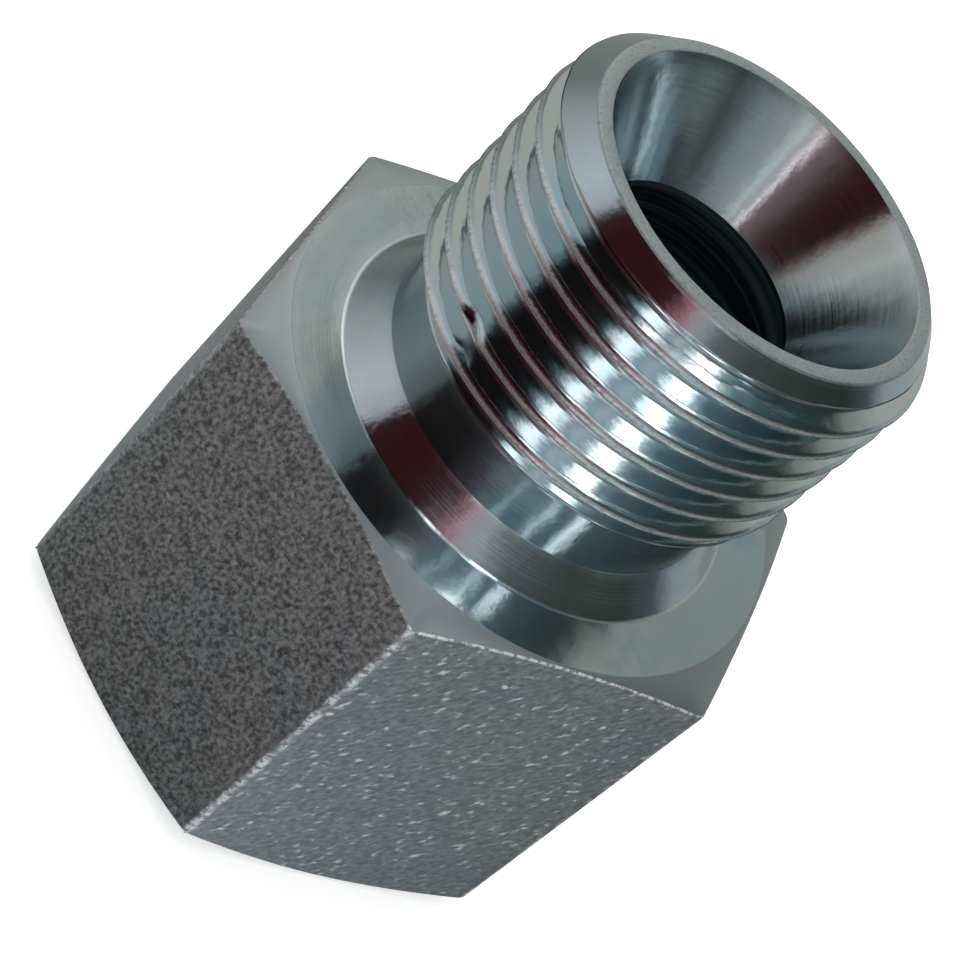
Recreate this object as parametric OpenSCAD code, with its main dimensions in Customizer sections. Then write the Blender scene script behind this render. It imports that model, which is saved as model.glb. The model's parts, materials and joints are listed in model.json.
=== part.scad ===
// Straight hydraulic hose connector, turned from one piece of hexagon bar.
// One end has a male parallel pipe thread with a 60 degree cone seat in its mouth.
// The other end has a female port with the same thread.
// It stands on the female end: the origin is the centre of that end face,
// and +Z runs along the axis towards the male thread. All sizes are millimetres.

/* [Thread] */
// Outside diameter of the pipe thread, the same at both ends
thread_d = 16.662; // [14:0.001:18]
// Distance from one thread crest to the next
thread_pitch = 1.337; // [0.9:0.001:1.9]
// Angle between the two flanks of a thread groove
thread_angle = 55; // [50:1:60]

/* [Hexagon] */
// Width of the hexagon across its flats
hex_af = 22; // [21:0.5:30]
// Radius of the rolled edges between the flats
hex_edge_r = 0.4; // [0.2:0.1:2]
// Distance of the turned chamfer on the male side in from the flats
top_chamfer_in = 0.17; // [0:0.01:0.6]
// Slope of the turned chamfer on the male side
top_chamfer_angle = 15; // [10:1:35]
// Distance of the turned chamfer on the female side in from the flats
end_chamfer_in = 0.55; // [0:0.01:0.8]
// Slope of the turned chamfer on the female side
end_chamfer_angle = 25; // [10:1:35]

/* [Male end] */
// Length of the threaded part, from the rim to the run-out
male_thread_len = 9; // [6:0.1:16]
// Depth of the first thread groove below the rim
first_groove = 1.21; // [0.8:0.01:1.6]
// Length of the 45 degree lead-in chamfer at the rim
lead_in_len = 1.13; // [0.5:0.01:1.5]
// Depth of the relief groove below the thread's outside
relief_depth = 0.98; // [0.6:0.01:1.5]
// Length of the relief groove's straight floor
relief_len = 2.27; // [1:0.01:5]
// How far the shoulder's foot stands outside the thread, on the radius
shoulder_over = 0.27; // [0:0.01:0.8]
// Radius of the fillet where the shoulder meets the hexagon's face
shoulder_fillet_r = 0.3; // [0.1:0.05:0.6]

/* [Cone seat and bore] */
// Diameter of the straight bore that carries the fluid
bore_d = 8.4; // [5:0.1:10]
// Width of the flat rim between the cone seat and the lead-in chamfer
rim_w = 0.55; // [0.2:0.01:0.8]
// Full angle of the cone seat
seat_angle = 60; // [50:1:90]

/* [Female port] */
// Length of the threaded part of the port
port_thread_len = 12; // [8:0.1:20]
// Length that the tapping drill runs on past the thread, at its full diameter
port_run_out = 2; // [1:0.1:4]
// Thickness left between the drilled port and the hexagon's face
port_floor = 3; // [2:0.1:12]
// Full angle of the tapping drill's point
drill_point_angle = 118; // [110:1:140]
// How far the port's countersink stands outside the thread, on the radius
countersink_over = 0.3; // [0.1:0.05:0.6]

/* [Hidden] */
$fn = 96;

// Far enough past a face for a cut to leave it cleanly
past = 1;

// The thread form: two thirds of the sharp triangle, with a flat crest and root
thread_r = thread_d / 2;
thread_depth = thread_pitch / 3 / tan(thread_angle / 2);
thread_land = thread_pitch / 6;
minor_r = thread_r - thread_depth;

// Radii of the male end. Its run-out and its shoulder are 45 degree cones,
// so each is as long as it is deep.
relief_r = thread_r - relief_depth;
shoulder_r = thread_r + shoulder_over;
shoulder_len = shoulder_r - relief_r;
lead_in_r = thread_r - lead_in_len;
seat_r = lead_in_r - rim_w;
bore_r = bore_d / 2;

// Lengths along the axis
port_drill_len = port_thread_len + port_run_out;
hex_len = port_drill_len + port_floor;
stem_len = male_thread_len + relief_depth + relief_len + shoulder_len;
total_len = hex_len + stem_len;
seat_len = (seat_r - bore_r) / tan(seat_angle / 2);
countersink_r = thread_r + countersink_over;
countersink_len = countersink_r - minor_r;
drill_point_len = (minor_r - bore_r) / tan(drill_point_angle / 2);

male_groove_count = ceil((male_thread_len - first_groove) / thread_pitch) + 1;
port_groove_count = floor((port_thread_len - countersink_len) / thread_pitch) + 1;

hex_corner_r = hex_af / 2 / cos(30);

// Points of an arc about [x, y], from one angle to another
function arc_points(x, y, r, from, to, steps) =
    [for (i = [0:steps]) let (a = from + (to - from) * i / steps) [x + r * cos(a), y + r * sin(a)]];

// The section of one thread groove, cut into a wall that ends at x = 0
module groove_section() {
    half_root = thread_land / 2;
    half_mouth = half_root + (thread_depth + past) * tan(thread_angle / 2);
    polygon([
        [-thread_depth, -half_root],
        [past, -half_mouth],
        [past, half_mouth],
        [-thread_depth, half_root]
    ]);
}

// A hexagon with rolled corners, each an arc that meets its two flats smoothly
module rolled_hexagon() {
    center_r = hex_corner_r - hex_edge_r / cos(30);
    polygon([
        for (a = [0:60:300])
            each arc_points(center_r * cos(a), center_r * sin(a), hex_edge_r, a - 30, a + 30, 6)
    ]);
}

// The hexagon with both ends turned to a shallow cone
module hexagon_body() {
    top_r = hex_af / 2 - top_chamfer_in;
    end_r = hex_af / 2 - end_chamfer_in;
    out_r = hex_corner_r + past;
    intersection() {
        linear_extrude(height = hex_len) rolled_hexagon();
        rotate_extrude() polygon([
            [0, 0],
            [end_r, 0],
            [out_r, (out_r - end_r) * tan(end_chamfer_angle)],
            [out_r, hex_len - (out_r - top_r) * tan(top_chamfer_angle)],
            [top_r, hex_len],
            [0, hex_len]
        ]);
    }
}

// The male end before its bore: lead-in, thread, relief groove and shoulder.
// It starts inside the hexagon, so that the two are one body.
module male_stem() {
    foot_r = shoulder_r + shoulder_fillet_r * tan(22.5);
    thread_end = total_len - male_thread_len;
    rotate_extrude() difference() {
        polygon(concat(
            [[0, hex_len / 2], [foot_r, hex_len / 2]],
            arc_points(foot_r, hex_len + shoulder_fillet_r, shoulder_fillet_r, -90, -135, 5),
            [
                [relief_r, hex_len + shoulder_len],
                [relief_r, thread_end - relief_depth],
                [thread_r, thread_end],
                [thread_r, total_len - lead_in_len],
                [lead_in_r, total_len],
                [0, total_len]
            ]
        ));
        for (i = [0:male_groove_count - 1])
            translate([thread_r, total_len - first_groove - i * thread_pitch])
                groove_section();
    }
}

// Everything that is hollow: the female port, the bore and the cone seat
module passage() {
    rotate_extrude() {
        polygon([
            [0, -past],
            [countersink_r + past, -past],
            [minor_r, countersink_len],
            [minor_r, port_drill_len],
            [bore_r, port_drill_len + drill_point_len],
            [bore_r, total_len - seat_len],
            [seat_r + past * tan(seat_angle / 2), total_len + past],
            [0, total_len + past]
        ]);
        for (i = [0:port_groove_count - 1])
            translate([minor_r, countersink_len + i * thread_pitch])
                mirror([1, 0])
                    groove_section();
    }
}

module connector_body() {
    color([0.66, 0.7, 0.7]) difference() {
        union() {
            hexagon_body();
            male_stem();
        }
        passage();
    }
}

connector_body();
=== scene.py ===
import json
import math

import bpy
import numpy as np
from bpy.props import FloatProperty, FloatVectorProperty, IntProperty, PointerProperty
from mathutils import Matrix, Vector, noise


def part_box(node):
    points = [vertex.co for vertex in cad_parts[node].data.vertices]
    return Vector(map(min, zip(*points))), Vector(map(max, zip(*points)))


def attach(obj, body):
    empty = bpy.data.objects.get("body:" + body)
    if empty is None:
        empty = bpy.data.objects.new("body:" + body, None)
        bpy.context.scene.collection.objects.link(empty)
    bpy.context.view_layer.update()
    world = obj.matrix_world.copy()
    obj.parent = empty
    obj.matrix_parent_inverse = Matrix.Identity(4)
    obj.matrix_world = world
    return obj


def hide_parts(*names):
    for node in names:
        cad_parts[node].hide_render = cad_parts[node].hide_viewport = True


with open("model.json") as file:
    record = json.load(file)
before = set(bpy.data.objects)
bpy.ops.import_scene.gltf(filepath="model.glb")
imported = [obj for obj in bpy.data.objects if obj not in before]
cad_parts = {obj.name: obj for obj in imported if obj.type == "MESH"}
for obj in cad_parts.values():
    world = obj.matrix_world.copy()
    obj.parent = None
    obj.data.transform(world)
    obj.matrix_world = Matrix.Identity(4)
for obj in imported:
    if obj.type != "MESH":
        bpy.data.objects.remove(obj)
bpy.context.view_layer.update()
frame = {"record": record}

bl_info = {
    "name": "Hose connector",
    "version": (1, 0, 0),
    "blender": (4, 5, 0),
    "location": "3D View > Sidebar > Connector",
    "description": "Models a turned and zinc plated hose connector around its packed solid",
    "category": "Add Mesh",
}

MM = 0.001
NODE = "connector_body"

# Sizes that the frame already holds
MOUNTS = {mount["name"]: mount for mount in frame["record"]["mounts"]}
CREST_R = MOUNTS["male_thread"]["dims"]["r_mm"] * MM
MINOR_R = MOUNTS["female_thread"]["dims"]["r_mm"] * MM
BORE_R = MOUNTS["fluid_bore"]["dims"]["r_mm"] * MM
HEX_LEN = MOUNTS["shoulder_face"]["pos_m"][2]
HALF_FLATS = MOUNTS["spanner_flat"]["pos_m"][1]
CORNER_R = HALF_FLATS / math.cos(math.radians(30))
TOTAL_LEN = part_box(NODE)[1].z

# Slack where places are compared, and how far a cut reaches past a face
SLACK = 0.01 * MM
PAST = 1 * MM


class ConnectorSizes(bpy.types.PropertyGroup):
    """Sizes of the turned shape, on top of those that the frame gives."""

    thread_pitch: FloatProperty(
        name="Thread pitch", description="Distance between two thread crests",
        default=1.337 * MM, unit="LENGTH")
    flank_angle: FloatProperty(
        name="Flank angle", description="Angle between the two flanks of a thread groove",
        default=math.radians(55), subtype="ANGLE")
    male_thread_len: FloatProperty(
        name="Male thread length", description="From the rim to the run-out",
        default=9.0 * MM, unit="LENGTH")
    first_crest: FloatProperty(
        name="First crest", description="Depth below the rim of the crest that faces the camera",
        default=1.88 * MM, unit="LENGTH")
    lead_in_len: FloatProperty(
        name="Lead-in", description="Length of the 45 degree chamfer at the rim",
        default=1.13 * MM, unit="LENGTH")
    rim_width: FloatProperty(
        name="Rim width", description="Width of the flat rim round the cone seat",
        default=0.55 * MM, unit="LENGTH")
    relief_depth: FloatProperty(
        name="Relief depth", description="Depth of the relief groove below the crests",
        default=0.98 * MM, unit="LENGTH")
    shoulder_over: FloatProperty(
        name="Shoulder foot", description="How far the shoulder's foot stands outside the thread",
        default=0.27 * MM, unit="LENGTH")
    shoulder_fillet: FloatProperty(
        name="Shoulder fillet", description="Radius where the shoulder meets the hexagon's face",
        default=0.3 * MM, unit="LENGTH")
    top_chamfer_in: FloatProperty(
        name="Male side chamfer", description="How far the chamfer starts inside the flats",
        default=0.17 * MM, unit="LENGTH")
    top_chamfer_angle: FloatProperty(
        name="Male side chamfer slope", description="Slope of the chamfer cone",
        default=math.radians(15), subtype="ANGLE")
    end_chamfer_in: FloatProperty(
        name="Female side chamfer", description="How far the chamfer starts inside the flats",
        default=0.55 * MM, unit="LENGTH")
    end_chamfer_angle: FloatProperty(
        name="Female side chamfer slope", description="Slope of the chamfer cone",
        default=math.radians(25), subtype="ANGLE")
    hex_edge_r: FloatProperty(
        name="Bar edge radius", description="Radius of the rolled edges of the hexagon bar",
        default=0.4 * MM, unit="LENGTH")
    burr: FloatProperty(
        name="Burr", description="Width of the rounding where the chamfers meet the flats",
        default=0.08 * MM, unit="LENGTH")
    seat_angle: FloatProperty(
        name="Cone seat angle", description="Full angle of the cone seat",
        default=math.radians(60), subtype="ANGLE")
    port_drill_len: FloatProperty(
        name="Port depth", description="Depth of the tapping drill at its full diameter",
        default=14.0 * MM, unit="LENGTH")
    port_thread_len: FloatProperty(
        name="Port thread length", description="Length of the threaded part of the port",
        default=12.0 * MM, unit="LENGTH")
    drill_angle: FloatProperty(
        name="Drill point angle", description="Full angle of the tapping drill's point",
        default=math.radians(118), subtype="ANGLE")
    countersink_over: FloatProperty(
        name="Countersink", description="How far the port's countersink stands outside the thread",
        default=0.3 * MM, unit="LENGTH")
    edge_break: FloatProperty(
        name="Edge break", description="Radius to which the turned edges are broken",
        default=0.07 * MM, unit="LENGTH")
    steps_round: IntProperty(
        name="Steps round", description="Segments of the turned shape round its axis",
        default=192, min=48)


class ConnectorFinish(bpy.types.PropertyGroup):
    """Colours of the plated steel."""

    zinc: FloatVectorProperty(
        name="Zinc", description="Colour of the bright turned zinc",
        default=(0.70, 0.73, 0.73), subtype="COLOR", min=0, max=1)
    zinc_blue: FloatVectorProperty(
        name="Blue passivation", description="Cooler colour that the passivation has in patches",
        default=(0.64, 0.71, 0.73), subtype="COLOR", min=0, max=1)
    torn: FloatVectorProperty(
        name="Torn crest", description="Pale colour of the torn thread crests",
        default=(0.95, 0.95, 0.94), subtype="COLOR", min=0, max=1)
    # Also the white of the bar's painted glints and of the painted highlight on its edges
    rubbed_and_highlight: FloatVectorProperty(
        name="Rubbed edge", description="Colour of the rubbed edges and the bar's white grains",
        default=(0.92, 0.92, 0.92), subtype="COLOR", min=0, max=1)
    chamfer: FloatVectorProperty(
        name="Satin chamfer", description="Colour of the hexagon's turned chamfer",
        default=(0.52, 0.55, 0.56), subtype="COLOR", min=0, max=1)
    bar: FloatVectorProperty(
        name="Bar skin", description="Colour of the rough drawn flats",
        default=(0.70, 0.68, 0.66), subtype="COLOR", min=0, max=1)
    bar_blue: FloatVectorProperty(
        name="Bluish bar skin", description="Cooler colour that the flats have in patches",
        default=(0.64, 0.66, 0.68), subtype="COLOR", min=0, max=1)


class ConnectorStudio(bpy.types.PropertyGroup):
    """Camera and lamp."""

    lens: FloatProperty(
        name="Lens", description="Focal length on a 36 mm sensor, in millimetres",
        default=94.60)
    azimuth: FloatProperty(
        name="Camera heading", description="Turn of the line of sight about the vertical, from +Y",
        default=math.radians(19.32), subtype="ANGLE")
    elevation: FloatProperty(
        name="Camera elevation", description="How far the line of sight points down",
        default=math.radians(39.51), subtype="ANGLE")
    roll: FloatProperty(
        name="Camera roll", description="Turn of the picture about the line of sight",
        default=math.radians(47.35), subtype="ANGLE")
    place: FloatVectorProperty(
        name="Camera place", description="Where the camera stands",
        default=(25.29 * MM, -70.91 * MM, 75.04 * MM), subtype="TRANSLATION")
    front: FloatVectorProperty(
        name="Front", description="Place that the camera looks at, on the connector's near side",
        default=(3.5 * MM, -9 * MM, 18 * MM), subtype="TRANSLATION")
    lamp_power: FloatProperty(
        name="Lamp power", description="Power of the soft lamp above, in watts",
        default=0.12)
    lamp_size: FloatProperty(
        name="Lamp size", description="Diameter of the soft lamp",
        default=250 * MM, unit="LENGTH")
    lamp_place: FloatVectorProperty(
        name="Lamp place", description="Where the soft lamp hangs, pointing at the origin",
        default=(-60 * MM, 80 * MM, 300 * MM), subtype="TRANSLATION")


def sizes():
    return bpy.context.scene.connector_sizes


def finish():
    return bpy.context.scene.connector_finish


def studio():
    return bpy.context.scene.connector_studio


def select_only(piece):
    """Leaves one object selected and active. The frame's nodes start out selected."""
    if bpy.context.mode != "OBJECT":
        bpy.ops.object.mode_set(mode="OBJECT")
    bpy.ops.object.select_all(action="DESELECT")
    piece.select_set(True)
    bpy.context.view_layer.objects.active = piece


def select_edges(piece, test):
    """Selects the edges whose two end points pass the test, and stays in edit mode."""
    select_only(piece)
    bpy.ops.object.mode_set(mode="EDIT")
    bpy.ops.mesh.select_mode(type="EDGE")
    bpy.ops.mesh.select_all(action="DESELECT")
    bpy.ops.object.mode_set(mode="OBJECT")
    points = piece.data.vertices
    for edge in piece.data.edges:
        a, b = (points[i].co for i in edge.vertices)
        edge.select = test(a, b)
    bpy.ops.object.mode_set(mode="EDIT")


def select_faces(piece, test):
    """Selects the faces whose centre and normal pass the test, and stays in edit mode."""
    select_only(piece)
    bpy.ops.object.mode_set(mode="EDIT")
    bpy.ops.mesh.select_mode(type="FACE")
    bpy.ops.mesh.select_all(action="DESELECT")
    bpy.ops.object.mode_set(mode="OBJECT")
    for face in piece.data.polygons:
        face.select = test(face.center, face.normal)
    bpy.ops.object.mode_set(mode="EDIT")


def radius(point):
    return math.hypot(point.x, point.y)


def line(start, end, steps):
    """Points from start up to, and without, end."""
    return [tuple(a + (b - a) * i / steps for a, b in zip(start, end)) for i in range(steps)]


# Steps of the arc that breaks a corner of the outline
ARC_STEPS = 3


def broken(before, corner, after, r):
    """The points of an arc that breaks a corner of the outline."""
    to_before = (Vector(before) - Vector(corner)).normalized()
    to_after = (Vector(after) - Vector(corner)).normalized()
    half = to_before.angle(to_after) / 2
    tangent = r / math.tan(half)
    center = Vector(corner) + (to_before + to_after).normalized() * r / math.sin(half)
    first = Vector(corner) + to_before * tangent - center
    last = Vector(corner) + to_after * tangent - center
    turn = first.angle_signed(last)
    arc = []
    for i in range(ARC_STEPS + 1):
        spoke = first.copy()
        spoke.rotate(Matrix.Rotation(-turn * i / ARC_STEPS, 2))
        arc.append(tuple(center + spoke))
    return arc


def outline():
    """The section of the turned shape as one closed loop of (radius, height) points.

    The two stretches that carry a thread are cut fine enough to hold it.
    """
    s = sizes()
    out_r = CORNER_R + PAST
    top_r = HALF_FLATS - s.top_chamfer_in
    end_r = HALF_FLATS - s.end_chamfer_in
    relief_r = CREST_R - s.relief_depth
    shoulder_r = CREST_R + s.shoulder_over
    lead_in_r = CREST_R - s.lead_in_len
    seat_r = lead_in_r - s.rim_width
    thread_end = TOTAL_LEN - s.male_thread_len
    countersink_r = CREST_R + s.countersink_over
    countersink_len = countersink_r - MINOR_R
    drill_point = (MINOR_R - BORE_R) / math.tan(s.drill_angle / 2)
    seat_len = (seat_r - BORE_R) / math.tan(s.seat_angle / 2)
    # Each corner: its place, the radius it is broken to, and the steps to the next corner
    corners = [
        ((end_r, 0), s.edge_break, 1),
        ((out_r, (out_r - end_r) * math.tan(s.end_chamfer_angle)), 0, 1),
        ((out_r, HEX_LEN - (out_r - top_r) * math.tan(s.top_chamfer_angle)), 0, 1),
        ((top_r, HEX_LEN), s.edge_break, 3),
        ((shoulder_r, HEX_LEN), s.shoulder_fillet, 3),
        ((relief_r, HEX_LEN + shoulder_r - relief_r), s.edge_break, 4),
        ((relief_r, thread_end - s.relief_depth), s.edge_break, 18),
        ((CREST_R, thread_end), 0, 156),
        ((CREST_R, TOTAL_LEN - s.lead_in_len), 0, 22),
        ((lead_in_r, TOTAL_LEN), s.edge_break, 2),
        ((seat_r, TOTAL_LEN), s.edge_break, 8),
        ((BORE_R, TOTAL_LEN - seat_len), s.edge_break, 8),
        ((BORE_R, s.port_drill_len + drill_point), 0, 2),
        ((MINOR_R, s.port_drill_len), 0, 100),
        ((MINOR_R, countersink_len), 0, 12),
        ((countersink_r, 0), s.edge_break, 2),
    ]
    loop = []
    for i, (corner, r, steps) in enumerate(corners):
        before = corners[i - 1][0]
        after = corners[(i + 1) % len(corners)][0]
        arc = broken(before, corner, after, r) if r else [corner]
        if loop:
            loop += line(loop.pop(), arc[0], corners[i - 1][2])
        loop += arc
    loop += line(loop.pop(), loop[0], corners[-1][2])
    return loop


def spin_outline(name, loop, steps):
    """Turns a closed outline about the Z axis into a solid."""
    mesh = bpy.data.meshes.new(name)
    edges = [(i, (i + 1) % len(loop)) for i in range(len(loop))]
    mesh.from_pydata([(r, 0, z) for r, z in loop], edges, [])
    piece = bpy.data.objects.new(name, mesh)
    bpy.context.scene.collection.objects.link(piece)
    select_only(piece)
    bpy.ops.object.mode_set(mode="EDIT")
    bpy.ops.mesh.select_all(action="SELECT")
    bpy.ops.mesh.spin(steps=steps, angle=2 * math.pi, center=(0, 0, 0), axis=(0, 0, 1))
    bpy.ops.mesh.select_all(action="SELECT")
    bpy.ops.mesh.remove_doubles(threshold=0.001 * MM)
    bpy.ops.mesh.normals_make_consistent(inside=False)
    bpy.ops.object.mode_set(mode="OBJECT")
    return piece


def hexagon_bar():
    """The drawn bar that the connector is turned from, with its six rolled edges."""
    bpy.ops.object.select_all(action="DESELECT")
    bpy.ops.mesh.primitive_cylinder_add(
        vertices=6, radius=CORNER_R, depth=TOTAL_LEN * 1.5,
        location=(0, 0, TOTAL_LEN / 2), rotation=(0, 0, math.radians(30)))
    bar = bpy.context.object
    bar.name = "hexagon_bar"
    bpy.ops.object.transform_apply(location=True, rotation=True, scale=True)
    select_edges(bar, lambda a, b: abs(a.z - b.z) > TOTAL_LEN)
    setback = sizes().hex_edge_r * math.tan(math.radians(30))
    bpy.ops.mesh.bevel(offset=setback, offset_type="OFFSET", segments=6, profile=0.5)
    bpy.ops.object.mode_set(mode="OBJECT")
    return bar


def mill_to_bar(piece, bar):
    """Keeps of the turned shape only what lies inside the bar."""
    select_only(piece)
    mill = piece.modifiers.new("bar", "BOOLEAN")
    mill.operation = "INTERSECT"
    mill.solver = "MANIFOLD"
    mill.object = bar
    bpy.ops.object.modifier_apply(modifier=mill.name)
    bpy.data.objects.remove(bar)


def break_milled_edges(piece):
    """Rounds the curved edges where the turned chamfers meet the bar's flats."""
    select_edges(piece, lambda a, b: False)
    bpy.ops.mesh.edges_select_sharp(sharpness=math.radians(40))
    bpy.ops.object.mode_set(mode="OBJECT")
    points = piece.data.vertices
    for edge in piece.data.edges:
        ends = [points[i].co for i in edge.vertices]
        edge.select = edge.select and all(
            radius(end) > HALF_FLATS - SLACK and 0 < end.z < HEX_LEN for end in ends)
    bpy.ops.object.mode_set(mode="EDIT")
    bpy.ops.mesh.bevel(offset=sizes().burr, offset_type="OFFSET", segments=2, profile=0.5)
    bpy.ops.object.mode_set(mode="OBJECT")


def groove_share(gap, pitch):
    """How deep the thread is at a distance from its crest: 0 on the crest and 1 in the root.

    The corners of the flat crest and root are rounded by taking the mean over a short way.
    """
    half_land = pitch / 12
    root = pitch / 2 - half_land
    way = pitch / 5

    def area(x):
        run = np.clip(x - half_land, 0, root - half_land)
        return run ** 2 / (2 * (root - half_land)) + np.maximum(x - root, 0)

    return (area(gap + way / 2) - area(gap - way / 2)) / way


def thread_share(height, azimuth, crest_height, crest_azimuth):
    """How deep a right-hand thread is at each point, by where one of its crests lies."""
    pitch = sizes().thread_pitch
    turns = (height - crest_height) / pitch - (azimuth - crest_azimuth) / (2 * math.pi)
    gap = np.abs(turns - np.round(turns)) * pitch
    return groove_share(gap, pitch)


def thread_depth():
    s = sizes()
    return s.thread_pitch / 3 / math.tan(s.flank_angle / 2)


def run_out_end():
    """Height at which the male thread's run-out reaches the relief groove."""
    s = sizes()
    return TOTAL_LEN - s.male_thread_len - s.relief_depth


def read_points(piece):
    """The piece's points as rows, and the radius, azimuth and height of each."""
    points = np.empty(len(piece.data.vertices) * 3)
    piece.data.vertices.foreach_get("co", points)
    points = points.reshape(-1, 3)
    x, y, z = points.T
    return points, np.hypot(x, y), np.arctan2(y, x), z


def write_radii(piece, points, azimuth, radii):
    """Moves the points to new distances from the axis."""
    points[:, 0] = radii * np.cos(azimuth)
    points[:, 1] = radii * np.sin(azimuth)
    piece.data.vertices.foreach_set("co", points.ravel())
    piece.data.update()


# Where a crest lies first_crest below the rim
CREST_AZIMUTH = math.radians(-84)
# The nick in one crest: its place, depth, and reach round and along the thread
NICK_AZIMUTH = math.radians(-99)
NICK_BELOW_RIM = 7.3 * MM
NICK_DEPTH = 0.28 * MM
NICK_ROUND, NICK_ALONG = 0.45 * MM, 0.25 * MM
# The tears in the crests, and how far apart they are
TEAR_DEPTH = 0.03 * MM
TEAR_GRAIN = 0.5 * MM


def cut_male_thread(piece):
    """Cuts the right-hand helical thread into the stem.

    No edit operator cuts a helical groove, so this pass moves the turned points inwards.
    """
    s = sizes()
    points, r, azimuth, height = read_points(piece)
    relief_r = CREST_R - s.relief_depth
    on_stem = (height > run_out_end()) & (r > relief_r - 0.5 * MM) & (r < CREST_R + SLACK)
    share = thread_share(height, azimuth, TOTAL_LEN - s.first_crest, CREST_AZIMUTH)
    tear = np.array([noise.noise(Vector(p) / TEAR_GRAIN) for p in points[on_stem]])
    crest = CREST_R - TEAR_DEPTH * np.clip(tear, 0, 1) * (1 - share[on_stem])
    cut = crest - thread_depth() * share[on_stem]
    round_way = (azimuth[on_stem] - NICK_AZIMUTH) * CREST_R / NICK_ROUND
    along = (height[on_stem] - (TOTAL_LEN - NICK_BELOW_RIM)) / NICK_ALONG
    cut -= NICK_DEPTH * np.exp(-round_way ** 2 - along ** 2) * (1 - share[on_stem])
    new = r.copy()
    new[on_stem] = np.minimum(r[on_stem], cut)
    write_radii(piece, points, azimuth, new)


def cut_port_thread(piece):
    """Cuts the right-hand thread into the port's wall, fading out at its inner end."""
    s = sizes()
    points, r, azimuth, height = read_points(piece)
    countersink_r = CREST_R + s.countersink_over
    in_port = (height < s.port_drill_len - SLACK) & (r < countersink_r - 0.1 * MM)
    share = thread_share(height, azimuth, 0, 0)
    fade = np.clip((s.port_thread_len + s.thread_pitch - height) / s.thread_pitch, 0, 1)
    new = r.copy()
    cut = MINOR_R + thread_depth() * (1 - share) * fade
    new[in_port] = np.maximum(r[in_port], cut[in_port])
    write_radii(piece, points, azimuth, new)


def in_thread(point):
    """True on the stretches that carry a thread, whose edges stay smooth.

    The margins leave out the turned corners that the stretches end at.
    """
    r = radius(point)
    margin = 0.15 * MM
    male = run_out_end() + margin < point.z < TOTAL_LEN - 0.1 * MM and r > MINOR_R - 0.1 * MM
    port = (margin < point.z < sizes().port_drill_len - 0.05 * MM
            and BORE_R + 1 * MM < r < CREST_R + 0.2 * MM)
    return male or port


def sharpen(piece):
    """Shades the piece smooth, apart from its turned and milled edges."""
    select_only(piece)
    bpy.ops.object.shade_smooth()
    select_edges(piece, lambda a, b: False)
    bpy.ops.mesh.edges_select_sharp(sharpness=math.radians(22))
    bpy.ops.object.mode_set(mode="OBJECT")
    points = piece.data.vertices
    for edge in piece.data.edges:
        if edge.select and all(in_thread(points[i].co) for i in edge.vertices):
            edge.select = False
    bpy.ops.object.mode_set(mode="EDIT")
    bpy.ops.mesh.mark_sharp()
    bpy.ops.object.mode_set(mode="OBJECT")


def fill(tree, made, inputs):
    """Fills a node's inputs with values, or links them where a socket is given."""
    for key, value in inputs.items():
        if isinstance(value, bpy.types.NodeSocket):
            tree.links.new(value, made.inputs[key])
        else:
            made.inputs[key].default_value = value
    return made


def node(tree, kind, inputs=None, **settings):
    """Adds a shader node with its settings, and fills its inputs."""
    made = tree.nodes.new("ShaderNode" + kind)
    for key, value in settings.items():
        setattr(made, key, value)
    return fill(tree, made, inputs or {})


def math_node(tree, operation, a, b=0.0):
    return node(tree, "Math", {0: a, 1: b}, operation=operation).outputs[0]


def vector_node(tree, operation, a, b=(0, 0, 0)):
    """Works on two vectors, or on one and the number to scale it by."""
    second = 3 if operation == "SCALE" else 1
    made = node(tree, "VectorMath", {0: a, second: b}, operation=operation)
    return made.outputs["Value" if operation in ("LENGTH", "DOT_PRODUCT") else "Vector"]


def mix_value(tree, factor, a, b):
    return node(tree, "Mix", {0: factor, 2: a, 3: b}, data_type="FLOAT").outputs[0]


def mix_vector(tree, factor, a, b):
    return node(tree, "Mix", {0: factor, 4: a, 5: b}, data_type="VECTOR").outputs[1]


def mix_colour(tree, factor, a, b, blend="MIX"):
    made = node(tree, "Mix", {0: factor, 6: a, 7: b}, data_type="RGBA", blend_type=blend)
    return made.outputs[2]


def ramp(tree, value, stops):
    """Maps a value to grey levels or colours at the given places."""
    made = node(tree, "ValToRGB", {0: value})
    band = made.color_ramp
    band.elements[0].position = stops[0][0]
    band.elements[-1].position = stops[-1][0]
    for place, _ in stops[1:-1]:
        band.elements.new(place)
    for element, (_, colour) in zip(band.elements, stops):
        element.color = (*colour, 1) if isinstance(colour, tuple) else (colour,) * 3 + (1,)
    return made.outputs[0]


def azimuth_ramp(tree, turn, stops, whole=360):
    """The same for stops at azimuths in degrees, by a turn that is 0 at -180 degrees.

    Whole is how many degrees the turn takes to get to 1.
    """
    return ramp(tree, turn, [((degrees + 180) / whole, tone) for degrees, tone in stops])


def between(tree, value, low, high):
    """0 below low, 1 above high and smooth between."""
    made = node(tree, "MapRange", {0: value, 1: low, 2: high}, interpolation_type="SMOOTHSTEP")
    return made.outputs[0]


def new_group(name, inputs, outputs):
    """An empty shader group with number inputs, and outputs of the given kinds."""
    group = bpy.data.node_groups.new(name, "ShaderNodeTree")
    for socket, default in inputs:
        made = group.interface.new_socket(socket, in_out="INPUT", socket_type="NodeSocketFloat")
        made.default_value = default
    for socket, kind in outputs:
        group.interface.new_socket(socket, in_out="OUTPUT", socket_type=kind)
    source = group.nodes.new("NodeGroupInput")
    target = group.nodes.new("NodeGroupOutput")
    return group, source, target


def use_group(tree, name, inputs=None):
    made = tree.nodes.new("ShaderNodeGroup")
    made.node_tree = bpy.data.node_groups[name]
    return fill(tree, made, inputs or {})


def place_in_mm(tree):
    """The shaded point's place on the object, in millimetres."""
    return vector_node(tree, "SCALE", node(tree, "TexCoord").outputs["Object"], 1 / MM)


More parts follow.
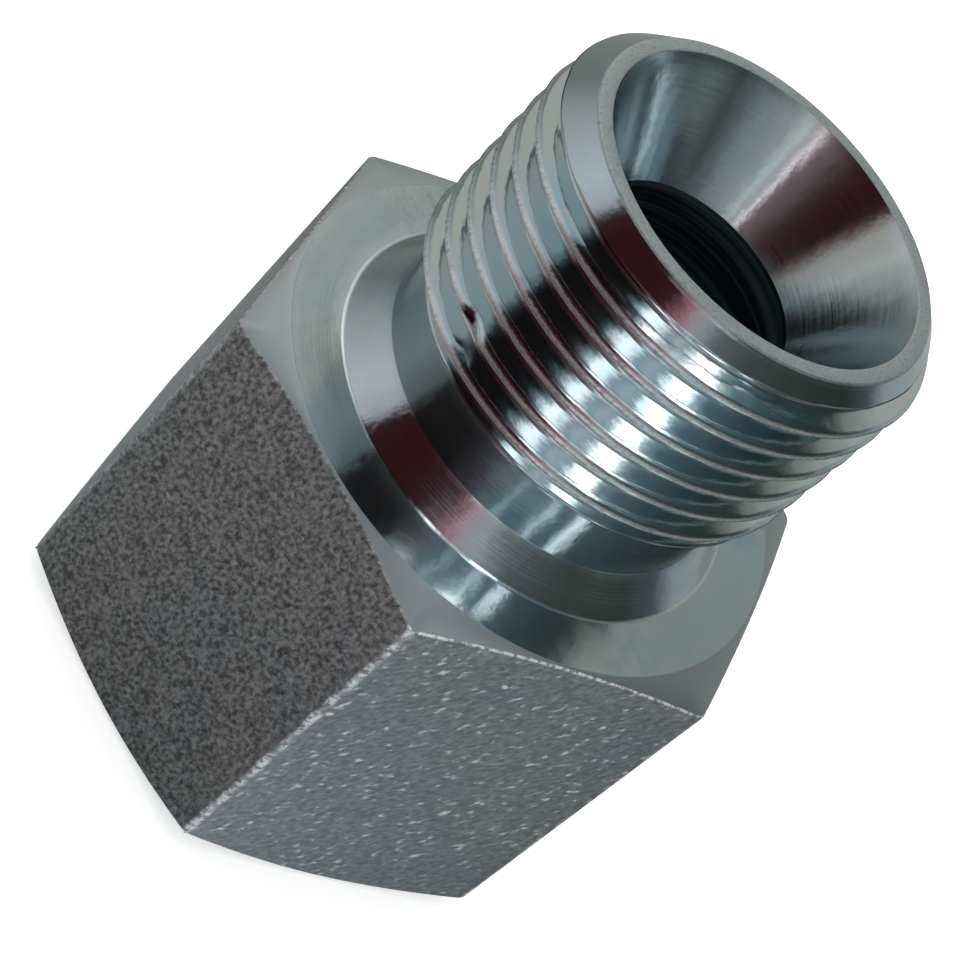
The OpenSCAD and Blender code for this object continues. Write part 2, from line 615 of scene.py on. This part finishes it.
def build_turned_place():
    """Group: a point's distance from the axis and height in mm, and its azimuth in turns."""
    group, _, target = new_group("turned_place", [], [
        ("Radius", "NodeSocketFloat"), ("Height", "NodeSocketFloat"),
        ("Azimuth", "NodeSocketFloat")])
    x, y, z = node(group, "SeparateXYZ", {0: place_in_mm(group)}).outputs
    flat = node(group, "CombineXYZ", {0: x, 1: y}).outputs[0]
    angle = math_node(group, "ARCTAN2", y, x)
    fill(group, target, {
        "Radius": vector_node(group, "LENGTH", flat),
        "Height": z,
        "Azimuth": math_node(group, "DIVIDE", angle, 2 * math.pi),
    })


def build_turning_marks():
    """Group: the fine rings that a lathe tool leaves, as a height from 0 to 1.

    Wander is how fast the rings change round the axis.
    """
    group, source, target = new_group(
        "turning_marks", [("Rings per mm", 8.0), ("Wander", 0.6)], [("Height", "NodeSocketFloat")])
    place = use_group(group, "turned_place").outputs
    rings = source.outputs["Rings per mm"]
    along = node(group, "CombineXYZ", {
        0: math_node(group, "MULTIPLY", place["Radius"], rings),
        1: math_node(group, "MULTIPLY", place["Height"], rings),
        2: math_node(group, "MULTIPLY", place["Azimuth"], source.outputs["Wander"]),
    }).outputs[0]
    marks = node(group, "TexNoise", {"Vector": along, "Scale": 1.0, "Detail": 3.0})
    fill(group, target, {"Height": marks.outputs[0]})


# The direction that the bar's grains are drawn out in, and by what share
GRAIN_LAY = (0.3, 0.52, 0.8)
GRAIN_DRAWN = 0.45
# The white grains, painted glints: the scale of their noise next to the grains', and the noise
# where they show
GLINT_SHARE = 0.68
GLINT_FROM, GLINT_FULL = 0.57, 0.79


def build_grain():
    """Group: the granular skin of drawn and plated bar.

    Height runs from 0 to 1. Tilted is the surface's normal with each grain leaning its own way,
    by the given amount. Painted glints masks the few grains that are painted white as glints.
    """
    group, source, target = new_group(
        "bar_grain", [("Grains per mm", 5.0), ("Tilt", 0.5)],
        [("Height", "NodeSocketFloat"), ("Tilted", "NodeSocketVector"),
         ("Painted glints", "NodeSocketFloat")])
    grains = source.outputs["Grains per mm"]
    place = place_in_mm(group)
    along = vector_node(group, "DOT_PRODUCT", place, GRAIN_LAY)
    drawn = vector_node(
        group, "SCALE", GRAIN_LAY, math_node(group, "MULTIPLY", along, -GRAIN_DRAWN))
    spot = vector_node(group, "ADD", place, drawn)
    cloud = node(group, "TexNoise", {
        "Vector": spot, "Scale": grains, "Detail": 2.0, "Roughness": 0.6})
    lean = vector_node(group, "SUBTRACT", cloud.outputs["Color"], (0.5, 0.5, 0.5))
    lean = vector_node(group, "SCALE", lean, source.outputs["Tilt"])
    level = node(group, "NewGeometry").outputs["Normal"]
    coarse = node(group, "TexNoise", {
        "Vector": spot, "Scale": math_node(group, "MULTIPLY", grains, GLINT_SHARE),
        "Detail": 1.0})
    fill(group, target, {
        "Height": between(group, cloud.outputs[0], 0.25, 0.75),
        "Tilted": vector_node(group, "NORMALIZE", vector_node(group, "ADD", level, lean)),
        "Painted glints": between(group, coarse.outputs[0], GLINT_FROM, GLINT_FULL),
    })


def build_patches():
    """Group: soft patches, from 0 where the noise is below Low to 1 where it is above High."""
    group, source, target = new_group(
        "patches", [("Patches per mm", 0.5), ("Low", 0.4), ("High", 0.65)],
        [("Mask", "NodeSocketFloat")])
    per_mm, low, high = source.outputs[:3]
    cloud = node(group, "TexNoise", {
        "Vector": place_in_mm(group), "Scale": per_mm, "Detail": 4.0})
    fill(group, target, {"Mask": between(group, cloud.outputs[0], low, high)})


def empty_material(name):
    material = bpy.data.materials.new(name)
    material.use_nodes = True
    tree = material.node_tree
    tree.nodes.clear()
    return material, tree, tree.nodes.new("ShaderNodeOutputMaterial")


def new_material(name, metallic=1.0):
    """A material with one shader, plain metal unless told otherwise."""
    material, tree, output = empty_material(name)
    shader = node(tree, "BsdfPrincipled", {"Metallic": metallic})
    fill(tree, output, {"Surface": shader.outputs[0]})
    return material, tree, shader


def bump(tree, height, distance):
    return node(tree, "Bump", {"Height": height, "Distance": distance}).outputs[0]


def rgba(colour):
    return (*colour, 1.0)


def passivated(tree):
    """The turned zinc's colour, which the passivation makes bluer in patches."""
    mask = use_group(tree, "patches", {"Patches per mm": 0.2}).outputs[0]
    return mix_colour(tree, mask, rgba(finish().zinc), rgba(finish().zinc_blue))


def turned_zinc():
    """Bright turned zinc, with the tool's rings and a streak of light across them."""
    material, tree, shader = new_material("turned_zinc")
    marks = use_group(tree, "turning_marks", {"Rings per mm": 9.0}).outputs[0]
    waves = use_group(tree, "patches", {"Patches per mm": 0.8, "Low": 0.1, "High": 0.9}).outputs[0]
    height = math_node(tree, "ADD", math_node(tree, "MULTIPLY", marks, 0.25), waves)
    fill(tree, shader, {
        "Base Color": passivated(tree),
        "Roughness": ramp(tree, marks, [(0.3, 0.12), (0.7, 0.18)]),
        "Anisotropic": 1.0,
        "Anisotropic Rotation": 0.25,
        "Tangent": node(tree, "Tangent", direction_type="RADIAL", axis="Z").outputs[0],
        "Normal": bump(tree, height, 0.012 * MM),
    })
    return material


# How far inside the outermost radius wear starts and is full, in mm: the crests' tears, and
# the bar's rubbed edges with their painted highlight, for which the radius is that of its sharp
# corner
TORN_FROM, TORN_FULL = 0.131, 0.051
RUBBED_HIGHLIGHT_FROM, RUBBED_HIGHLIGHT_FULL = 0.147, 0.107
# How far the borders of the wear and of the edges' painted highlight wander with the grains and in
# waves, in mm
RAGGED_GRAIN, RAGGED_WAVE = 0.03, 0.05


def ragged_border(tree, place, uneven, outer, start, full):
    """Mask of what lies near the outer radius: 0 up to start inside it, and 1 from full on."""
    reach = math_node(tree, "SUBTRACT", place["Radius"], uneven)
    return between(tree, reach, outer / MM - start, outer / MM - full)


def thread_zinc():
    """The thread: flanks that chattered under the die, and crests that it has torn."""
    material, tree, shader = new_material("thread_zinc")
    place = use_group(tree, "turned_place").outputs
    grain = use_group(tree, "bar_grain", {"Grains per mm": 7.0, "Tilt": 0.25}).outputs
    uneven = math_node(tree, "MULTIPLY", grain["Height"], RAGGED_GRAIN)
    crest = ragged_border(tree, place, uneven, CREST_R, TORN_FROM, TORN_FULL)
    # The port's grooves lie as far out as the crests, but aren't torn
    above = math_node(tree, "GREATER_THAN", place["Height"], HEX_LEN / MM)
    crest = math_node(tree, "MULTIPLY", crest, above)
    speck = ramp(tree, grain["Height"], [(0.1, 0.7), (0.65, 1.0)])
    torn = mix_colour(tree, 1.0, rgba(finish().torn), speck, "MULTIPLY")
    chatter = use_group(tree, "turning_marks", {"Rings per mm": 2.5, "Wander": 45.0}).outputs[0]
    fill(tree, shader, {
        "Base Color": mix_colour(tree, crest, passivated(tree), torn),
        "Metallic": mix_value(tree, crest, 1.0, 0.91),
        "Roughness": mix_value(tree, crest, 0.10, 0.30),
        "Normal": mix_vector(tree, crest, bump(tree, chatter, 0.011 * MM), grain["Tilted"]),
    })
    return material


# How worn the bar is round the connector, by azimuth in degrees, which also sets where painted
# glints and painted highlights go: its flats, its long edges and the edges of its ends. The flat
# that faces -90 degrees is hardly worn, with few painted glints.
FLATS_WEAR_AND_GLINTS = [(-180, 1.0), (-122.4, 1.0), (-118.8, 0.0), (-62.6, 0.0), (-59.8, 1.0), (180, 1.0)]
EDGES_WEAR_AND_HIGHLIGHT = [(-180, 0.6), (-126, 0.25), (-93.6, 0.25), (-86.4, 1.0), (180, 0.6)]
ENDS_WEAR_AND_HIGHLIGHT = [(-180, 0.2), (-122.4, 0.2), (-118.8, 0.0), (-62.6, 0.0), (-59.8, 1.0),
             (-3.6, 1.0), (3.6, 0.2), (180, 0.2)]
# The share of the painted glints, white grains, that the hardly worn flat facing -90 degrees keeps
FEWEST_GLINTS = 0.2


def bar_zinc():
    """The flats: the bar's granular skin under the zinc, with painted glints and rubbed edges that
    are partly painted highlight.
    """
    material, tree, shader = new_material("bar_zinc")
    place = use_group(tree, "turned_place").outputs
    grain = use_group(tree, "bar_grain", {"Grains per mm": 5.5, "Tilt": 0.2}).outputs
    waves = use_group(tree, "patches", {"Patches per mm": 1.4, "Low": 0.25, "High": 0.75})
    turn = math_node(tree, "ADD", place["Azimuth"], 0.5)
    wear_and_glints = azimuth_ramp(tree, turn, FLATS_WEAR_AND_GLINTS)

    uneven = math_node(tree, "ADD", math_node(tree, "MULTIPLY", grain["Height"], RAGGED_GRAIN),
                       math_node(tree, "MULTIPLY", waves.outputs[0], RAGGED_WAVE))
    # The rubbed long edges: partly wear, partly painted highlight, stronger on the edges picked by
    # azimuth
    edge = ragged_border(tree, place, uneven, CORNER_R, RUBBED_HIGHLIGHT_FROM, RUBBED_HIGHLIGHT_FULL)
    edge = math_node(tree, "MULTIPLY", edge, azimuth_ramp(tree, turn, EDGES_WEAR_AND_HIGHLIGHT))
    # The strips where the flats meet the chamfers: painted highlight, on the sides picked by
    # azimuth
    up = node(tree, "SeparateXYZ", {0: node(tree, "NewGeometry").outputs["Normal"]}).outputs[2]
    end = between(tree, math_node(tree, "ABSOLUTE", up), 0.15, 0.3)
    end = math_node(tree, "MULTIPLY", end, azimuth_ramp(tree, turn, ENDS_WEAR_AND_HIGHLIGHT))
    # White grains painted as glints, fewest on the flat that faces -90 degrees
    painted_glints = math_node(tree, "MULTIPLY", grain["Painted glints"],
                       math_node(tree, "MAXIMUM", wear_and_glints, FEWEST_GLINTS))
    bright = math_node(tree, "MAXIMUM", math_node(tree, "MAXIMUM", edge, end), painted_glints)

    patches = use_group(tree, "patches", {"Patches per mm": 0.2, "Low": 0.3, "High": 0.75})
    pale = mix_colour(tree, patches.outputs[0], rgba(finish().bar), rgba(finish().bar_blue))
    pitted = ramp(tree, grain["Height"], [(0.05, 0.27), (0.95, 1.0)])
    smoother = ramp(tree, grain["Height"], [(0.05, 0.48), (0.95, 0.80)])
    mottled = mix_colour(tree, wear_and_glints, pitted, smoother)
    skin = mix_colour(tree, 1.0, pale, mottled, "MULTIPLY")
    speck = ramp(tree, grain["Height"], [(0.2, 0.3), (0.65, 1.0)])
    # The white of the painted highlights and glints, flecked by the grains
    rubbed_and_highlight = mix_colour(tree, 1.0, rgba(finish().rubbed_and_highlight), speck, "MULTIPLY")
    fill(tree, shader, {
        "Base Color": mix_colour(tree, bright, skin, rubbed_and_highlight),
        "Metallic": mix_value(tree, bright, 0.85, 0.50),
        "Roughness": mix_value(tree, bright, 0.50, 0.35),
        "Normal": grain["Tilted"],
    })
    return material


def chamfer_zinc():
    """The hexagon's turned chamfer, which came out satin."""
    material, tree, shader = new_material("chamfer_zinc")
    marks = use_group(tree, "turning_marks", {"Rings per mm": 9.0}).outputs[0]
    fill(tree, shader, {
        "Base Color": rgba(finish().chamfer),
        "Roughness": ramp(tree, marks, [(0.3, 0.42), (0.7, 0.47)]),
    })
    return material


def bore_zinc_painted_shade():
    """The drilled bore, with coarse rings from the drill; its dark blue-grey is painted shade and
    the paler teal of its rings a painted reflection.
    """
    material, tree, shader = new_material("bore_zinc_painted_shade", metallic=0.95)
    marks = use_group(tree, "turning_marks", {"Rings per mm": 3.0, "Wander": 1.5}).outputs[0]
    fill(tree, shader, {
        # The dark blue-grey is painted shade inside the bore, the paler teal on the drill rings a
        # painted reflection
        "Base Color": ramp(tree, marks, [(0.42, (0.08, 0.12, 0.14)), (0.62, (0.40, 0.55, 0.62))]),
        "Roughness": 0.35,
        "Normal": bump(tree, marks, 0.02 * MM),
    })
    return material


def matt_zinc():
    """The rim's flat face, which the tool left matt."""
    material, tree, shader = new_material("matt_zinc")
    grain = use_group(tree, "bar_grain", {"Grains per mm": 9.0}).outputs["Height"]
    fill(tree, shader, {
        "Base Color": ramp(tree, grain, [(0.1, (0.56, 0.58, 0.57)), (0.4, (0.68, 0.71, 0.70))]),
        "Roughness": 0.5,
        "Normal": bump(tree, grain, 0.01 * MM),
    })
    return material


# How far along the axis a face's normal points where the bar's skin ends and the chamfer
# starts, and where the chamfer ends and a level face starts
CHAMFER_FROM, LEVEL_FROM = 0.9, 0.985


def is_rim(center, normal):
    return center.z > TOTAL_LEN - 0.06 * MM and normal.z > 0.6


def is_bar_skin(center, normal):
    return abs(normal.z) < CHAMFER_FROM and radius(center) > HALF_FLATS - 0.1 * MM


def is_chamfer(center, normal):
    return CHAMFER_FROM < normal.z < LEVEL_FROM and radius(center) > HALF_FLATS - 0.2 * MM


def is_thread(center, normal):
    return in_thread(center)


def is_bore(center, normal):
    at_drill_point = sizes().port_drill_len - SLACK < center.z < HEX_LEN
    return radius(center) < (MINOR_R if at_drill_point else BORE_R + SLACK)


def dress(piece):
    """Gives each region of the body its own finish."""
    regions = [
        (turned_zinc(), lambda center, normal: True),
        (bar_zinc(), is_bar_skin),
        (chamfer_zinc(), is_chamfer),
        (thread_zinc(), is_thread),
        (bore_zinc_painted_shade(), is_bore),
        (matt_zinc(), is_rim),
    ]
    piece.data.materials.clear()
    for index, (material, test) in enumerate(regions):
        piece.data.materials.append(material)
        select_faces(piece, test)
        piece.active_material_index = index
        bpy.ops.object.material_slot_assign()
        bpy.ops.object.mode_set(mode="OBJECT")


class CONNECTOR_OT_body(bpy.types.Operator):
    """Models the connector's body: turned, milled to the bar, threaded and plated"""

    bl_idname = "connector.body"
    bl_label = "Connector body"

    def execute(self, context):
        build_turned_place()
        build_turning_marks()
        build_grain()
        build_patches()
        piece = spin_outline("connector_body_finished", outline(), sizes().steps_round)
        mill_to_bar(piece, hexagon_bar())
        break_milled_edges(piece)
        sharpen(piece)
        dress(piece)
        cut_male_thread(piece)
        cut_port_thread(piece)
        if len(piece.data.polygons) < 1000:
            raise RuntimeError("the turned body came out empty")
        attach(piece, "root")
        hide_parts(NODE)
        return {"FINISHED"}


def floor_material():
    """A pale floor that the camera sees as white, apart from the object's shadow."""
    material, tree, output = empty_material("studio_floor")
    matt = node(tree, "BsdfDiffuse", {"Color": (0.8, 0.8, 0.8, 1)})
    seen = node(tree, "LightPath").outputs["Is Camera Ray"]
    glow = node(tree, "Emission", {
        "Color": (1, 1, 1, 1), "Strength": math_node(tree, "MULTIPLY", seen, 0.5)})
    both = node(tree, "AddShader", {0: matt.outputs[0], 1: glow.outputs[0]})
    fill(tree, output, {"Surface": both.outputs[0]})
    return material


def painted_shade_material():
    """A near black disc under the connector: painted shade where no light reaches."""
    material, tree, shader = new_material("studio_painted_shade_floor", metallic=0.0)
    fill(tree, shader, {"Base Color": (0.02, 0.02, 0.02, 1), "Roughness": 1.0})
    return material


# What the bright metal mirrors. Each row holds for surfaces that lean back from upright by more
# than its angle, and gives colours by the azimuth in degrees that the surface faces.
# The studio is dark where the camera stands, with narrow windows to its right.
SURROUNDINGS = [
    # Upright: the relief groove and the thread's roots
    (0, [
        (-180, (0.30, 0.34, 0.33)), (-148, (0.40, 0.43, 0.42)), (-133, (0.16, 0.22, 0.23)),
        (-112, (0.20, 0.26, 0.28)), (-101, (0.13, 0.16, 0.17)), (-97, (0.006, 0.003, 0.004)),
        (-78, (0.006, 0.003, 0.004)), (-71, (0.04, 0.035, 0.045)), (-66, (0.10, 0.14, 0.17)),
        (-62, (0.14, 0.22, 0.27)), (-60, (0.50, 0.65, 0.72)), (-58, (0.13, 0.21, 0.26)),
        (-51, (0.12, 0.20, 0.25)), (-49, (1.0, 1.2, 1.3)), (-47, (0.12, 0.20, 0.24)),
        (-41, (0.09, 0.15, 0.18)), (-39, (1.9, 2.2, 2.35)), (-37, (0.07, 0.12, 0.15)),
        (-20, (0.03, 0.05, 0.055)), (4, (0.015, 0.025, 0.025)), (16, (0.10, 0.13, 0.12)),
        (60, (0.40, 0.43, 0.42)), (180, (0.30, 0.34, 0.33)),
    ]),
    # The cone seat
    (12, [
        (-180, (0.035, 0.055, 0.06)), (-150, (0.045, 0.07, 0.08)), (-135, (0.12, 0.16, 0.17)),
        (-125, (0.30, 0.34, 0.33)), (-114, (0.45, 0.47, 0.43)), (-104, (0.35, 0.33, 0.30)),
        (-99, (0.10, 0.05, 0.05)), (-95, (0.022, 0.008, 0.010)), (-87, (0.040, 0.010, 0.012)),
        (-80, (0.06, 0.03, 0.032)), (-71, (0.17, 0.13, 0.135)), (-68, (0.20, 0.17, 0.18)),
        (-66, (1.1, 1.0, 1.05)), (-64, (0.34, 0.38, 0.38)), (-60, (0.60, 0.68, 0.68)),
        (-56, (0.32, 0.37, 0.38)), (-45, (0.25, 0.30, 0.32)),
        (-30, (0.06, 0.08, 0.08)), (-20, (0.15, 0.20, 0.20)), (0, (0.08, 0.11, 0.11)),
        (20, (0.03, 0.05, 0.05)), (60, (0.03, 0.05, 0.05)), (120, (0.035, 0.055, 0.06)),
        (180, (0.035, 0.055, 0.06)),
    ]),
    # The shoulder and the lead-in
    (38, [
        (-180, (0.22, 0.25, 0.22)), (-150, (0.18, 0.21, 0.20)), (-132, (0.36, 0.41, 0.42)),
        (-112, (0.54, 0.59, 0.64)), (-102, (0.46, 0.47, 0.52)), (-98, (0.03, 0.012, 0.014)),
        (-92, (0.035, 0.008, 0.010)), (-78, (0.030, 0.008, 0.010)), (-70, (0.04, 0.010, 0.015)),
        (-66, (0.36, 0.16, 0.20)), (-63, (0.38, 0.33, 0.36)), (-57, (0.30, 0.33, 0.35)),
        (-53, (0.14, 0.16, 0.17)), (-44, (0.065, 0.08, 0.08)), (-30, (0.045, 0.055, 0.05)),
        (-8, (0.03, 0.035, 0.03)), (2, (0.06, 0.08, 0.09)), (12, (0.30, 0.36, 0.38)),
        (60, (0.42, 0.46, 0.44)), (180, (0.22, 0.25, 0.22)),
    ]),
    # The upper flanks of the thread
    (54, [
        (-180, (0.42, 0.44, 0.41)), (-132, (0.44, 0.46, 0.43)), (-122, (0.38, 0.47, 0.50)),
        (-103, (0.34, 0.44, 0.48)), (-99, (0.005, 0.003, 0.004)), (-78, (0.005, 0.003, 0.004)),
        (-74, (0.25, 0.32, 0.36)), (-71, (2.2, 2.3, 2.35)), (-68, (1.8, 1.9, 2.0)),
        (-65, (0.26, 0.36, 0.40)), (-61, (0.70, 0.80, 0.85)), (-57, (0.26, 0.36, 0.40)),
        (-53, (3.4, 3.5, 3.6)), (-49, (3.4, 3.5, 3.6)), (-46, (0.40, 0.55, 0.60)),
        (-41, (0.12, 0.20, 0.24)), (-36, (0.08, 0.14, 0.17)), (-30, (0.05, 0.09, 0.11)),
        (-18, (0.025, 0.05, 0.05)), (-9, (0.03, 0.045, 0.04)), (0, (0.26, 0.28, 0.26)),
        (12, (0.42, 0.44, 0.41)), (180, (0.42, 0.44, 0.41)),
    ]),
    # The turned chamfer of the hexagon
    (64, [
        (-180, (0.46, 0.49, 0.47)), (-130, (1.10, 1.16, 1.12)), (-114, (0.95, 1.00, 0.98)),
        (-98, (0.26, 0.28, 0.28)), (-84, (0.12, 0.13, 0.13)), (-72, (0.15, 0.16, 0.18)),
        (-62, (0.10, 0.11, 0.13)), (-52, (0.12, 0.13, 0.12)), (-40, (0.20, 0.22, 0.20)),
        (-15, (0.16, 0.18, 0.18)), (10, (0.26, 0.29, 0.28)), (180, (0.44, 0.47, 0.45)),
    ]),
]

# The same for a level surface, which mirrors opposite sides alike, from -180 to 0 degrees
OVERHEAD = [
    (-180, (0.42, 0.46, 0.43)), (-160, (0.24, 0.28, 0.26)), (-140, (0.26, 0.32, 0.30)),
    (-125, (0.19, 0.28, 0.31)), (-112, (0.13, 0.23, 0.28)), (-98, (0.10, 0.20, 0.25)),
    (-92, (0.03, 0.05, 0.06)), (-88, (0.008, 0.006, 0.008)), (-75, (0.008, 0.006, 0.008)),
    (-68, (0.03, 0.04, 0.06)), (-60, (0.10, 0.19, 0.24)), (-50, (0.14, 0.27, 0.34)),
    (-45, (0.20, 0.34, 0.42)), (-41, (4.0, 4.6, 5.0)), (-38, (0.30, 0.45, 0.50)),
    (-34, (0.04, 0.07, 0.10)), (-24, (0.05, 0.08, 0.10)), (-12, (0.28, 0.32, 0.31)),
    (0, (0.42, 0.46, 0.43)),
]

# Degrees of lean over which a row takes over from the one before, and the level one from all
ROW_BLEND = 4
OVERHEAD_FROM, OVERHEAD_FULL = 79, 84
# How far the streaks waver, in turns
WAVER = 0.025
# Rays that have met the metal twice, by how steeply they go up: below the first they came out
# of a groove, above the other off the chamfer. Each counts as met by at least the given lean.
GROOVE_BELOW, GROOVE_LEAN = -0.05, 61
CHAMFER_ABOVE, CHAMFER_LEAN = 0.83, 75


def build_mirrored_surroundings(towards_camera):
    """Group: the colour that a ray meets, by the surface that mirrors that ray to the camera.

    A ray that has met the metal twice and goes up came off the hexagon's level face, so it is
    turned back down first, and the relief groove mirrors what it would without that face.
    One that goes down came out of a thread groove, and counts as met by its upper flank. One
    that goes steeply up came off the hexagon's chamfer.
    """
    group, source, target = new_group(
        "mirrored_surroundings", [("Bounces", 1.0)], [("Color", "NodeSocketColor")])
    ray = node(group, "TexCoord").outputs["Generated"]
    x, y, height = node(group, "SeparateXYZ", {0: ray}).outputs
    twice = math_node(group, "GREATER_THAN", source.outputs["Bounces"], 1.5)
    down = math_node(group, "MULTIPLY", math_node(group, "ABSOLUTE", height), -1.0)
    turned_down = node(group, "CombineXYZ", {0: x, 1: y, 2: down}).outputs[0]
    seen = mix_vector(group, twice, ray, turned_down)
    facing = vector_node(group, "NORMALIZE", vector_node(group, "ADD", seen, towards_camera))

    x, y, z = node(group, "SeparateXYZ", {0: facing}).outputs
    turn = math_node(group, "DIVIDE", math_node(group, "ARCTAN2", y, x), 2 * math.pi)
    cloud = node(group, "TexNoise", {"Vector": facing, "Scale": 5.0, "Detail": 2.0}).outputs[0]
    waver = math_node(group, "MULTIPLY", math_node(group, "SUBTRACT", cloud, 0.5), WAVER)
    turn = math_node(group, "ADD", math_node(group, "ADD", turn, waver), 0.5)

    lean = math_node(group, "DEGREES", math_node(group, "ARCSINE", z))
    in_groove = math_node(group, "LESS_THAN", height, GROOVE_BELOW)
    off_chamfer = math_node(group, "GREATER_THAN", height, CHAMFER_ABOVE)
    for where, least in ((in_groove, GROOVE_LEAN), (off_chamfer, CHAMFER_LEAN)):
        where = math_node(group, "MULTIPLY", twice, where)
        lean = math_node(group, "MAXIMUM", lean, math_node(group, "MULTIPLY", where, least))

    colour = azimuth_ramp(group, turn, SURROUNDINGS[0][1])
    for start, stops in SURROUNDINGS[1:]:
        reached = between(group, lean, start, start + ROW_BLEND)
        colour = mix_colour(group, reached, colour, azimuth_ramp(group, turn, stops))
    half_turn = math_node(group, "FRACT", math_node(group, "MULTIPLY", turn, 2.0))
    above = azimuth_ramp(group, half_turn, OVERHEAD, whole=180)
    reached = between(group, lean, OVERHEAD_FROM, OVERHEAD_FULL)
    fill(group, target, {"Color": mix_colour(group, reached, colour, above)})


def build_world():
    """White to the camera, plain light for the floor, and streaked surroundings in the metal."""
    world = bpy.data.worlds.new("studio")
    bpy.context.scene.world = world
    world.use_nodes = True
    world.cycles.sampling_method = "NONE"
    tree = world.node_tree
    tree.nodes.clear()
    st = studio()
    build_mirrored_surroundings((Vector(st.place) - Vector(st.front)).normalized())
    path = node(tree, "LightPath").outputs
    mirrored = use_group(tree, "mirrored_surroundings", {"Bounces": path["Glossy Depth"]})
    plain = node(tree, "Background", {"Color": (1, 1, 1, 1)})
    streaked = node(tree, "Background", {"Color": mirrored.outputs[0]})
    both = node(tree, "MixShader", {
        0: path["Is Glossy Ray"], 1: plain.outputs[0], 2: streaked.outputs[0]})
    node(tree, "OutputWorld", {"Surface": both.outputs[0]})


def build_camera():
    st = studio()
    data = bpy.data.cameras.new("camera")
    data.sensor_width = 36
    data.lens = st.lens
    data.clip_start = 1 * MM
    data.clip_end = 10
    camera = bpy.data.objects.new("camera", data)
    bpy.context.scene.collection.objects.link(camera)
    turn = Matrix.Rotation(st.azimuth, 4, "Z")
    turn @= Matrix.Rotation(math.pi / 2 - st.elevation, 4, "X")
    turn @= Matrix.Rotation(st.roll, 4, "Z")
    camera.matrix_world = Matrix.Translation(Vector(st.place)) @ turn
    bpy.context.scene.camera = camera


def build_lamp():
    """A soft lamp above and behind, which the metal doesn't mirror."""
    st = studio()
    data = bpy.data.lights.new("soft_lamp", "AREA")
    data.shape = "DISK"
    data.size = st.lamp_size
    data.energy = st.lamp_power
    lamp = bpy.data.objects.new("soft_lamp", data)
    bpy.context.scene.collection.objects.link(lamp)
    lamp.location = st.lamp_place
    lamp.rotation_euler = (-lamp.location).to_track_quat("-Z", "Y").to_euler()
    lamp.visible_glossy = False


FLOOR_R = 1.5
# The painted shade under the connector, a dark disc, and its height above the floor
PAINTED_SHADE_R = HALF_FLATS - 1 * MM
PAINTED_SHADE_HEIGHT = 0.002 * MM


def build_floor():
    """A wide floor, with a dark disc just above it as painted shade where the connector keeps the
    light off.
    """
    bpy.ops.object.select_all(action="DESELECT")
    bpy.ops.mesh.primitive_circle_add(vertices=64, radius=FLOOR_R, fill_type="NGON")
    floor = bpy.context.object
    floor.name = "studio_floor"
    floor.visible_glossy = False
    floor.data.materials.append(floor_material())
    # A near black disc just above the floor: painted shade under the connector
    bpy.ops.object.select_all(action="DESELECT")
    bpy.ops.mesh.primitive_circle_add(
        vertices=64, radius=PAINTED_SHADE_R, fill_type="NGON", location=(0, 0, PAINTED_SHADE_HEIGHT))
    shade_disc = bpy.context.object
    shade_disc.name = "studio_painted_shade_floor"
    shade_disc.data.materials.append(painted_shade_material())


class CONNECTOR_OT_stage(bpy.types.Operator):
    """Sets the floor, the surroundings, the lamp and the camera"""

    bl_idname = "connector.stage"
    bl_label = "Studio"

    def execute(self, context):
        build_floor()
        build_world()
        build_lamp()
        build_camera()
        context.scene.view_settings.view_transform = "Standard"
        return {"FINISHED"}


class CONNECTOR_PT_panel(bpy.types.Panel):
    """Lists the connector's operators, sizes and colours"""

    bl_label = "Connector"
    bl_idname = "CONNECTOR_PT_panel"
    bl_space_type = "VIEW_3D"
    bl_region_type = "UI"
    bl_category = "Connector"

    def draw(self, context):
        for operator in OPERATORS:
            self.layout.operator(operator.bl_idname)
        for group in (sizes(), finish(), studio()):
            box = self.layout.box()
            for name in group.__annotations__:
                box.prop(group, name)


OPERATORS = (CONNECTOR_OT_body, CONNECTOR_OT_stage)
CLASSES = (ConnectorSizes, ConnectorFinish, ConnectorStudio, *OPERATORS, CONNECTOR_PT_panel)


def register():
    for cls in CLASSES:
        bpy.utils.register_class(cls)
    scene_type = bpy.types.Scene
    scene_type.connector_sizes = PointerProperty(type=ConnectorSizes)
    scene_type.connector_finish = PointerProperty(type=ConnectorFinish)
    scene_type.connector_studio = PointerProperty(type=ConnectorStudio)


def unregister():
    del bpy.types.Scene.connector_studio
    del bpy.types.Scene.connector_finish
    del bpy.types.Scene.connector_sizes
    for cls in reversed(CLASSES):
        bpy.utils.unregister_class(cls)


def main():
    register()
    bpy.ops.connector.body()
    bpy.ops.connector.stage()


if __name__ == "__main__":
    main()
